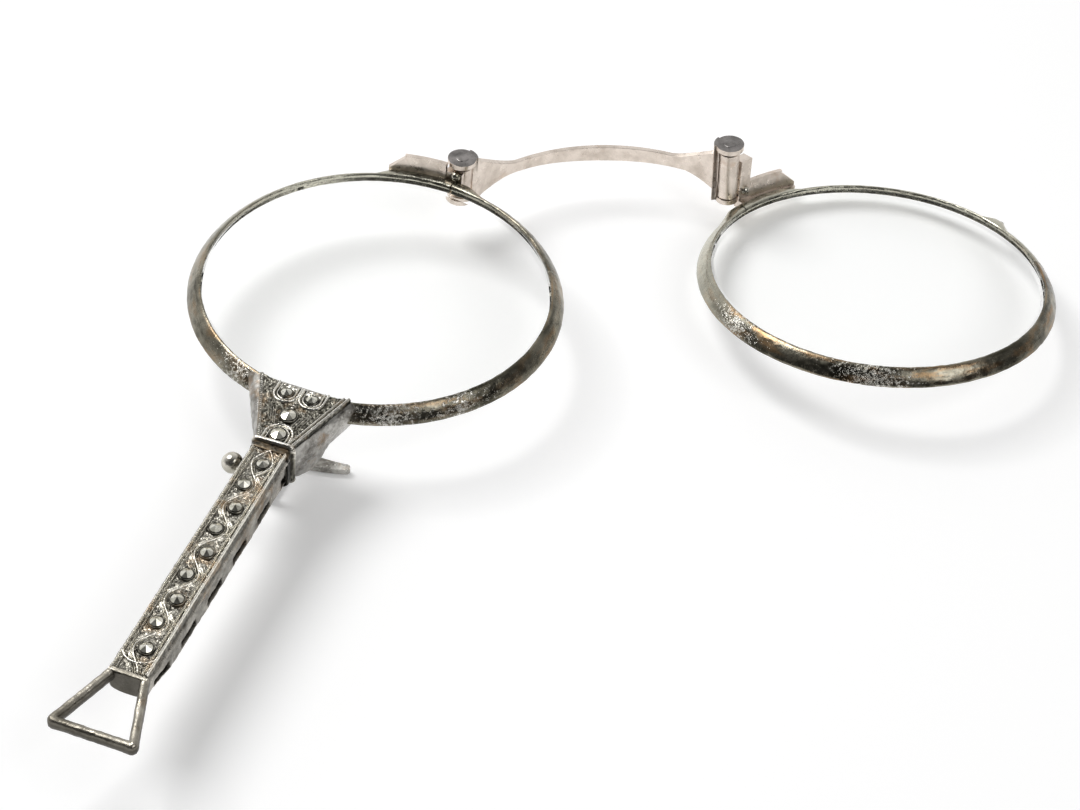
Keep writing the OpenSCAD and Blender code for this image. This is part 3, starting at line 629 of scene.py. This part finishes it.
def rising(r, z):
    """The case's heights, with its depth cut by up to 38% along a smooth step over the last 6.2 mm."""
    share = np.clip((r - CASE_END + 6.2) / 6.2, 0, 1)
    kept = 1 - 0.38 * share * share * (3 - 2 * share)
    return np.where(z < CASE_TOP, CASE_TOP + (z - CASE_TOP) * kept, z)


def handle_case():
    """The case: a trough along the handle, rough by a little, pressed in at each slot and at the knob.

    A beaded row runs along each wall under a narrow groove. The left wall has no first slot.
    """
    slot_z, slot_half, slot_rise, slot_depth = -1.15, 1.75, 0.55, 0.45
    stem_z, row_z, groove_z = -0.36, 0.95, 1.38
    section_s, section_z = trough(CASE_W / 2, CASE_TOP, -1.6, CASE_BOTTOM, 0.85, 50)
    r, k = np.meshgrid(np.linspace(HEAD_END, CASE_END, 560), np.arange(len(section_s)), indexing="ij")
    s, z = section_s[k], section_z[k]
    place = FIRST_SLOT + SLOT_PITCH * np.round((r - FIRST_SLOT) / SLOT_PITCH)
    fits = (place < FIRST_SLOT + SLOT_PITCH * (SLOTS - 0.5)) & (r > COLLAR_END)
    along, up = np.abs(r - place), np.abs(z - slot_z)
    slot = np.clip((slot_half - along) / 0.12, 0, 1) * np.clip((slot_rise - up) / 0.1, 0, 1) * fits
    slot = slot * ((s > 0) | (place > FIRST_SLOT + 1))
    stem = np.clip((0.5 - np.abs(r - KNOB_PLACE)) / 0.1, 0, 1) * (s < 0)
    stem = stem * np.clip((0.62 - np.abs(z - stem_z)) / 0.1, 0, 1)
    slot = np.maximum(slot, stem)
    rough = 0.09 * (grain(r, z + 30 + np.sign(s) * 9, 0.6, 71) - 0.5)
    rough += 0.05 * (grain(r, z + 30 + np.sign(s) * 9, 0.2, 72) - 0.5)
    edge = ridge(np.abs(z - row_z), 0.3, 0.2) * beads(r, 0.27)
    groove = np.clip(1 - np.abs(z - groove_z) / 0.16, 0, 1) * (r > COLLAR_END)
    rough = rough * (z < CASE_TOP - 0.2) + edge - 0.1 * groove
    s = s + np.sign(s) * (rough - 0.03 - slot_depth * slot) * (np.abs(s) > 0.3)
    piece = closed_bar("case_walls", on_handle(r, s, rising(r, z)), SIDE)
    # Painted shade: the slots, the knob's stem slot and the groove are marked to take a near-black colour.
    give_attribute(piece, "open", np.maximum(slot, 0.8 * groove))
    return seat(finish_normals(piece), "handle", "case_metal", "handle_case")


def tail_end():
    """The tail's end wall: the trough's section over a short way, drawn in at the back by a rounded edge."""
    section_s, section_z = trough(CASE_W / 2, PLATE_TOP - 0.15, -1.3, CASE_BOTTOM, 0.85, 50)
    t, k = np.meshgrid(np.linspace(0, 1, 9), np.arange(len(section_s)), indexing="ij")
    shrink = 1 - 0.1 * (1 - np.sqrt(1 - t ** 4))
    middle = (PLATE_TOP + CASE_BOTTOM) / 2
    r, s, z = CASE_END + 0.55 * t, section_s[k] * shrink, middle + (section_z[k] - middle) * shrink
    piece = closed_bar("tail_cap", on_handle(r, s, rising(r, z)), LOOP)
    return seat(finish_normals(piece), "handle", "loop_metal", "end_wall")


def collar():
    """The collar: a band with one raised lip carried round a rectangle with rounded corners."""
    corner = 0.5
    half = CASE_W / 2 + 0.12
    low, high = CASE_BOTTOM - 0.1, PLATE_TOP + 0.02
    angle = np.radians([np.linspace(0, 90, 8) + start for start in (0, 90, 180, 270)])
    out, up = np.cos(angle), np.sin(angle)
    s = corner * out + (half - corner) * np.array([[1], [-1], [-1], [1]])
    z = corner * up + np.array([[high - corner], [high - corner], [low + corner], [low + corner]])
    out, up, s, z = (line.reshape(1, -1) for line in (out, up, s, z))
    t = np.linspace(0, 1, 49)
    along = HEAD_END - 0.12 + (COLLAR_END + 0.1 - HEAD_END + 0.12) * np.concatenate([[0], t, [1]])
    rise = np.concatenate([[-0.1], 0.02 + ridge(np.abs(t - 0.26), 0.27, 0.36), [-0.1]])[:, None]
    s, z = s + rise * out, z + rise * up
    r = np.broadcast_to(along[:, None], s.shape)
    rough = 0.2 * (grain(r, s - z + 40, 0.3, 41) - 0.5) * (rise > -0.05)
    points = on_handle(r, s + rough * out, z + rough * up)
    faces = grid_faces(*s.shape, wrap_rows=True, wrap_columns=True)
    piece = make_object("collar_band", points, faces, CARVED, 50)
    give_attribute(piece, "relief", 0.16 + (0.7 + 1.1 * up.clip(0)) * rise + 2.5 * rough)
    return seat(finish_normals(piece), "handle", "plate_metal", "collar")


def corner_cut(points, times):
    """An open line of points with its corners rounded, each time by cutting at a quarter of every side."""
    for _ in range(times):
        first, last = points[:1], points[-1:]
        near, far = 0.75 * points[:-1] + 0.25 * points[1:], 0.25 * points[:-1] + 0.75 * points[1:]
        points = np.concatenate([first, np.stack([near, far], 1).reshape(-1, points.shape[1]), last])
    return points


def rim(name, node, body, centre, tilt, split, wing, material, lug=None):
    """A rim: the section of the wire carried round the lens's centre, with a V groove inside.

    The section's outer face slopes from a high inner edge to a low outer one. The wire is worn by up to
    0.04 mm, and its two ends face each other at the split. The wing's side says on which side of the
    split the bracket's wing lies, where the section is the clamped one, as it is at the lug's angle.
    """
    half_slit = 0.0048
    groove = [[-0.77, 0.36], [-0.41, 0.0], [-0.77, -0.36]]
    section, clamped = (np.concatenate([corner_cut(np.array(corners), 2), groove])
                        for corners in (RIM_SECTION, RIM_CLAMPED))
    turns = np.linspace(half_slit, 2 * math.pi - half_slit, 560) + split
    t, k = np.meshgrid(turns, np.arange(len(section)), indexing="ij")
    wear = 0.05 * (grain(t * 26 + 500, k * 0.8 + 40, 1.0, 31) - 0.5)
    wear += 0.03 * (grain(t * 90, k * 1.0, 1.0, 32) - 0.5)
    wear = wear * ((k > 1) & (k < len(section) - len(groove) - 2))
    away = wing * (np.mod(t - split + math.pi, 2 * math.pi) - math.pi)
    hold = np.clip((0.46 - away) / 0.1, 0, 1) * np.clip((away + 0.2) / 0.12, 0, 1)
    if lug is not None:
        from_lug = np.abs(np.mod(t - lug + math.pi, 2 * math.pi) - math.pi)
        hold = np.maximum(hold, np.clip((0.1 - from_lug) / 0.07, 0, 1))
    out = section[k, 0] * (1 - hold) + clamped[k, 0] * hold
    up = section[k, 1] * (1 - hold) + clamped[k, 1] * hold
    length = np.hypot(out, up) + 1e-6
    reach, z = RIM_R + out * (1 + wear / length), up * (1 + wear / length)
    x, y = reach * np.cos(t), reach * np.sin(t)
    c, s = math.cos(tilt), math.sin(tilt)
    points = ORIGIN + MM * (np.array(centre) + np.stack([x, y * c - z * s, y * s + z * c], -1))
    piece = closed_bar(name, points, material, 45)
    give_attribute(piece, "turn", np.mod(t / (2 * math.pi), 1))
    give_attribute(piece, "across", k / len(section))
    return seat(finish_normals(piece), body, "rim_metal", node)


def squared(value):
    """A cosine or sine raised to a power below one, with its sign kept, for a squarer oval."""
    return np.sign(value) * np.abs(value) ** 0.8


def loop_wire():
    """The loop: a squared oval carried along a bent line, thicker by a bell curve at the two corners."""
    half_w, half_h = 0.5, 0.68
    r_near, r_far, half_near, half_far = CASE_END - 0.2, 72.08, 1.62, 4.28
    line = np.array([[r_near, -half_near], [r_far, -half_far], [r_far, half_far], [r_near, half_near]])
    share = np.linspace(0, 3, 46)
    line = np.stack([np.interp(share, np.arange(4), line[:, i]) for i in (0, 1)], -1)
    line = corner_cut(line, 2)
    ahead = np.gradient(line, axis=0)
    ahead /= np.linalg.norm(ahead, axis=1)[:, None]
    lump = sum(np.exp(-((line[:, 0] - r_far) ** 2 + (line[:, 1] - side * half_far) ** 2) / 0.5)
               for side in (1, -1))
    angle = np.linspace(0, 2 * math.pi, 28, endpoint=False)
    row, a = np.meshgrid(np.arange(len(line)), angle, indexing="ij")
    size = 1 + 0.1 * lump[row] + 0.09 * (grain(row * 0.3 + 60, a * 1.2 + 30, 1.0, 81) - 0.5)
    aside = half_w * size * squared(np.cos(a))
    r = line[row, 0] + ahead[row, 1] * aside
    s = line[row, 1] - ahead[row, 0] * aside
    z = LOOP_Z + half_h * size * squared(np.sin(a))
    piece = closed_bar("loop_wire", on_handle(r, s, z), LOOP, 50)
    return seat(finish_normals(piece), "handle", "loop_metal", "ribbon_loop")


def faceted_stone(name, node, place, across, radius, turn):
    """A stone: six flat facets that meet in a point, cut by a round girdle over a short wall.

    At the girdle a facet's height is that of its plane: the slope times the distance along the facet.
    """
    around = 36
    angle = turn + np.arange(around) * 2 * math.pi / around
    slope = STONE_RISE / radius * 1.05
    along = np.cos(np.mod(angle - turn, math.pi / 3) - math.pi / 6)
    top = PLATE_TOP + 0.1 + STONE_RISE
    girdle = radius * 0.88
    rings = [(girdle, np.full(around, PLATE_TOP - 0.3)), (girdle, top - slope * girdle * along)]
    points = [on_handle(place + ring * np.cos(angle), across + ring * np.sin(angle), z) for ring, z in rings]
    points = np.concatenate(points + [on_handle([place], [across], top)])
    faces = grid_faces(2, around, wrap_columns=True)
    faces += [[around + k, around + (k + 1) % around, 2 * around] for k in range(around)]
    faces += [list(range(around))]
    piece = finish_normals(make_object(name, points, faces, STONE, 12))
    return seat(piece, "handle", "stone", node)


def settings(name, node, stones, tube):
    """Rings of round wire, one about each stone, worn uneven."""
    rings, faces, around, sides = [], [], 36, 10
    for place, across, radius in stones:
        a, b = np.meshgrid(np.linspace(0, 2 * math.pi, around, endpoint=False),
                           np.linspace(0, 2 * math.pi, sides, endpoint=False), indexing="ij")
        thick = tube * (1 + 0.18 * np.sin(5 * a + place))
        reach = radius + 0.05 + thick * np.cos(b)
        rings.append(on_handle(place + reach * np.cos(a), across + reach * np.sin(a),
                               PLATE_TOP + 0.02 + thick * np.sin(b)).reshape(-1, 3))
        start = (len(rings) - 1) * around * sides
        faces += (np.array(grid_faces(around, sides, True, True)) + start).tolist()
    points = np.concatenate(rings)
    piece = make_object(name, points, faces, CARVED)
    # Painted shade round each stone: the rings get a low relief, so they come out dark, darkest at their
    # lowest points.
    shade_height = (points[:, 2] - points[:, 2].min()) / np.ptp(points[:, 2])
    give_attribute(piece, "relief", 0.02 + 0.36 * shade_height)
    return seat(finish_normals(piece), "handle", "plate_metal", node)


def rivet(name, node, body, radius, rise):
    """A low dome on a hinge pin's upper end and axis: its radius is a cosine and its height a sine."""
    corners = points_of(NODES[node].data)
    top = corners[corners[:, 2] > corners[:, 2].max() - 0.3 * MM].mean(0)
    bottom = corners[corners[:, 2] < corners[:, 2].min() + 0.3 * MM].mean(0)
    axis = (top - bottom) / np.linalg.norm(top - bottom)
    side = np.cross(axis, (0, 1, 0))
    side /= np.linalg.norm(side)
    other = np.cross(axis, side)
    t, a = np.meshgrid(np.linspace(0, 1, 8), np.linspace(0, 2 * math.pi, 32, endpoint=False), indexing="ij")
    dome_r = radius * MM * np.cos(t * math.pi / 2 * 0.97)
    height = rise * MM * np.sin(t * math.pi / 2)
    points = (top + dome_r[..., None] * (np.cos(a)[..., None] * side + np.sin(a)[..., None] * other)
              + height[..., None] * axis)
    return seat(finish_normals(closed_bar(name, points, LUG, 35)), body, "bridge_metal")


def build_pieces():
    """Every piece; a rim's split lies on the line from its lens's centre to its hinge."""
    left_turn = math.atan2(LEFT_HINGE[1], LEFT_HINGE[0])
    right_turn = math.atan2(RIGHT_HINGE[1], RIGHT_HINGE[0] - LENS_SPACING)
    rim("left_wire", "left_rim", "handle", (0, 0, 0), 0, left_turn, 1, RIM_LEFT)
    rim("right_wire", "right_rim", "right_lens_group", (LENS_SPACING, 0, -LENS_DROP), -LENS_TILT, right_turn,
        -1, RIM_RIGHT, LUG_TURN)
    head_case()
    head_plate()
    collar()
    handle_plate()
    settings("head_bezels", "head_settings", HEAD_STONES, 0.09)
    settings("handle_bezels", "handle_settings", ROW_STONES, 0.085)
    turns = np.random.default_rng(4).random(len(HEAD_STONES) + len(ROW_STONES)) * math.pi / 3
    for i, (place, across, radius) in enumerate(HEAD_STONES):
        faceted_stone(f"head_gem_{i + 1}", f"head_stone_{i + 1}", place, across, radius, turns[i])
    for i, (place, across, radius) in enumerate(ROW_STONES):
        faceted_stone(f"handle_gem_{i + 1}", f"handle_stone_{i + 1}", place, across, radius,
                      turns[len(HEAD_STONES) + i])
    softened("bridge_strap", "bridge", "bridge_metal", BRIDGE, 0.12)
    softened("left_fork", "bridge", "bridge_metal", BRIDGE, 0.1, LUG)
    softened("right_fork", "bridge", "bridge_metal", BRIDGE, 0.1, LUG)
    softened("left_bracket", "handle", "bridge_metal", BRIDGE, 0.08)
    softened("right_bracket", "right_lens_group", "bridge_metal", BRIDGE, 0.08)
    handle_case()
    tail_end()
    loop_wire()
    softened("catch_lever", "catch", "loop_metal", FLANK, 0.1)
    rivet("left_rivet", "left_hinge_pin", "bridge", 0.8, 0.12)
    rivet("right_rivet", "right_hinge_pin", "bridge", 0.8, 0.12)
    for material, nodes in ((GLASS, ("left_lens", "right_lens")),
                            (BRIGHT, ("catch_knob", "left_rim_screw", "right_rim_screw")),
                            (LUG, ("catch_lug", "left_hinge_pin", "right_hinge_pin")),
                            (STEEL, ("catch_pin", "catch_spring", "left_hinge_spring",
                                     "right_hinge_spring"))):
        for node in nodes:
            finish_node(node, material)


# Stage, light and camera

AZIMUTH, ELEVATION, ROLL = (math.radians(a) for a in (-14.786, 43.446, 5.891))
FOCAL_PX, DISTANCE_MM = 2459.3, 285.043
IMAGE = (1080, 810)
LENS_CENTRE_PX = (376.751, 289.464)
SENSOR_MM = 36


def camera_at(azimuth, elevation, roll):
    """The camera's right, up and back directions: it looks along an azimuth from +Y and is rolled."""
    back = np.array([math.sin(azimuth) * math.cos(elevation), -math.cos(azimuth) * math.cos(elevation),
                     math.sin(elevation)])
    right = np.cross(-back, (0, 0, 1))
    right /= np.linalg.norm(right)
    up = np.cross(right, -back)
    return (math.cos(roll) * right + math.sin(roll) * up, math.cos(roll) * up - math.sin(roll) * right, back)


def set_camera():
    """The camera stands so that the left lens's centre falls on its pixel at its distance."""
    right, up, back = camera_at(AZIMUTH, ELEVATION, ROLL)
    across = (LENS_CENTRE_PX[0] - IMAGE[0] / 2) / FOCAL_PX * DISTANCE_MM
    above = -(LENS_CENTRE_PX[1] - IMAGE[1] / 2) / FOCAL_PX * DISTANCE_MM
    place = ORIGIN + MM * (back * DISTANCE_MM - right * across - up * above)
    data = bpy.data.cameras.new("camera")
    data.sensor_width = SENSOR_MM
    data.lens = FOCAL_PX / IMAGE[0] * SENSOR_MM
    data.clip_start = 0.01
    camera = bpy.data.objects.new("camera", data)
    turn = Matrix((right, up, back)).transposed().to_4x4()
    camera.matrix_world = Matrix.Translation(Vector(place)) @ turn
    bpy.context.scene.collection.objects.link(camera)
    bpy.context.scene.camera = camera


def lamp(name, place, target, size, power):
    """A round area lamp that shines on the target; places and sizes in metres, power in watts."""
    data = bpy.data.lights.new(name, "AREA")
    data.shape = "DISK"
    data.size = size
    data.energy = power
    light = bpy.data.objects.new(name, data)
    light.location = place
    light.rotation_euler = (Vector(target) - Vector(place)).to_track_quat("-Z", "Y").to_euler()
    bpy.context.scene.collection.objects.link(light)


def set_stage():
    """A wide white floor, and a surrounding that is white near it and behind and darker in front.

    Where the camera sees the floor, directly or in metal or glass, a faint glow brings it to paper white.
    """
    size, under = 3.0, -0.2 * MM
    corners = [(-size, -size, under), (size, -size, under), (size, size, under), (-size, size, under)]
    material, tree = node_tree("white_floor")
    paper = add(tree, "ShaderNodeBsdfDiffuse")
    paper.inputs["Color"].default_value = (0.93, 0.93, 0.93, 1)
    path = add(tree, "ShaderNodeLightPath")
    seen = math_node(tree, "MAXIMUM", path.outputs["Is Camera Ray"], path.outputs["Is Glossy Ray"])
    seen = math_node(tree, "MAXIMUM", seen, path.outputs["Is Transmission Ray"])
    glow = add(tree, "ShaderNodeEmission")
    tree.links.new(math_node(tree, "MULTIPLY", seen, 0.16), glow.inputs["Strength"])
    both = add(tree, "ShaderNodeAddShader")
    tree.links.new(paper.outputs["BSDF"], both.inputs[0])
    tree.links.new(glow.outputs["Emission"], both.inputs[1])
    output = add(tree, "ShaderNodeOutputMaterial")
    tree.links.new(both.outputs["Shader"], output.inputs["Surface"])
    make_object("floor", corners, [(0, 1, 2, 3)], material)

    world = bpy.data.worlds.new("surrounding")
    bpy.context.scene.world = world
    world.use_nodes = True
    tree = world.node_tree
    tree.nodes.clear()
    sky = add(tree, "ShaderNodeBackground", Color=(1, 1, 1, 1))
    way = add(tree, "ShaderNodeSeparateXYZ")
    tree.links.new(add(tree, "ShaderNodeTexCoord").outputs["Generated"], way.inputs["Vector"])
    behind = ramp(tree, way.outputs["Y"], -0.3, 0.75, 0.05, 0.85)
    near_floor = ramp(tree, way.outputs["Z"], 0.02, 0.12, 1.0, 0.0)
    tree.links.new(math_node(tree, "MAXIMUM", behind, near_floor), sky.inputs["Strength"])
    output = add(tree, "ShaderNodeOutputWorld")
    tree.links.new(sky.outputs["Background"], output.inputs["Surface"])


build_pieces()
set_stage()
lamp("key_light", (-0.28, 0.25, 0.52), (0, 0, 0), 0.34, 2.3)
lamp("fill_light", (0.35, -0.4, 0.6), (0, 0, 0), 0.5, 1.5)
set_camera()
bpy.context.scene.view_settings.view_transform = "Standard"
